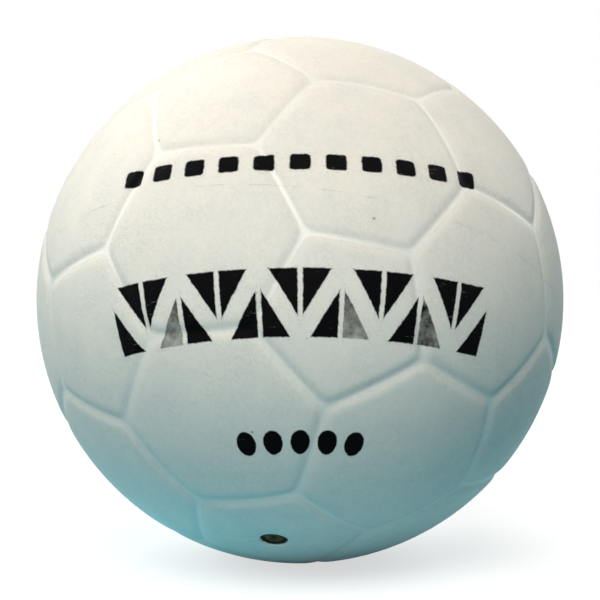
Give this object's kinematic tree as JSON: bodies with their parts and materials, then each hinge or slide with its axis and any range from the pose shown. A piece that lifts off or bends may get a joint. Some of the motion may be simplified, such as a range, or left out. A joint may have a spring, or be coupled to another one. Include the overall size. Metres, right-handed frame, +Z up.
{
  "type": "handball",
  "caption": "Handball with hexagon and pentagon vinyl panels bonded on a carcass, with winding, bladder, valve boot and a pull-out valve plug that takes a needle.",
  "frame": {"origin": "centre of the ball", "axes": "+Z up and -Y to the front, as the ball lies in the picture; the valve faces forward and down in the X = 0 plane, 55 degrees below level"},
  "size_m": [0.1878, 0.1878, 0.1878],
  "materials": {
    "panel_vinyl": "satin, fine grain",
    "carcass_rubber": "matte",
    "winding_thread": "wound thread",
    "bladder_rubber": "matte",
    "boot_rubber": "matte",
    "plug_rubber": "matte"
  },
  "bodies": {
    "ball": {"hexagon_panel_01": "panel_vinyl", "hexagon_panel_02": "panel_vinyl", "hexagon_panel_03": "panel_vinyl", "hexagon_panel_04": "panel_vinyl", "hexagon_panel_05": "panel_vinyl", "hexagon_panel_06": "panel_vinyl", "hexagon_panel_07": "panel_vinyl", "hexagon_panel_08": "panel_vinyl", "hexagon_panel_09": "panel_vinyl", "hexagon_panel_10": "panel_vinyl", "hexagon_panel_11": "panel_vinyl", "hexagon_panel_12": "panel_vinyl", "hexagon_panel_13": "panel_vinyl", "hexagon_panel_14": "panel_vinyl", "hexagon_panel_15": "panel_vinyl", "hexagon_panel_16": "panel_vinyl", "hexagon_panel_17": "panel_vinyl", "hexagon_panel_18": "panel_vinyl", "hexagon_panel_19": "panel_vinyl", "hexagon_panel_20": "panel_vinyl", "pentagon_panel_01": "panel_vinyl", "pentagon_panel_02": "panel_vinyl", "pentagon_panel_03": "panel_vinyl", "pentagon_panel_04": "panel_vinyl", "pentagon_panel_05": "panel_vinyl", "pentagon_panel_06": "panel_vinyl", "pentagon_panel_07": "panel_vinyl", "pentagon_panel_08": "panel_vinyl", "pentagon_panel_09": "panel_vinyl", "pentagon_panel_10": "panel_vinyl", "pentagon_panel_11": "panel_vinyl", "valve_panel": "panel_vinyl", "carcass": "carcass_rubber", "winding": "winding_thread", "bladder": "bladder_rubber", "valve_boot": "boot_rubber"},
    "plug": {"valve_plug": "plug_rubber"}
  },
  "joints": [
    {"name": "plug_pull", "type": "slide", "parent": "ball", "child": "plug", "axis": [0, -0.5736, -0.8192], "range_m": [0, 0.022]}
  ]
}
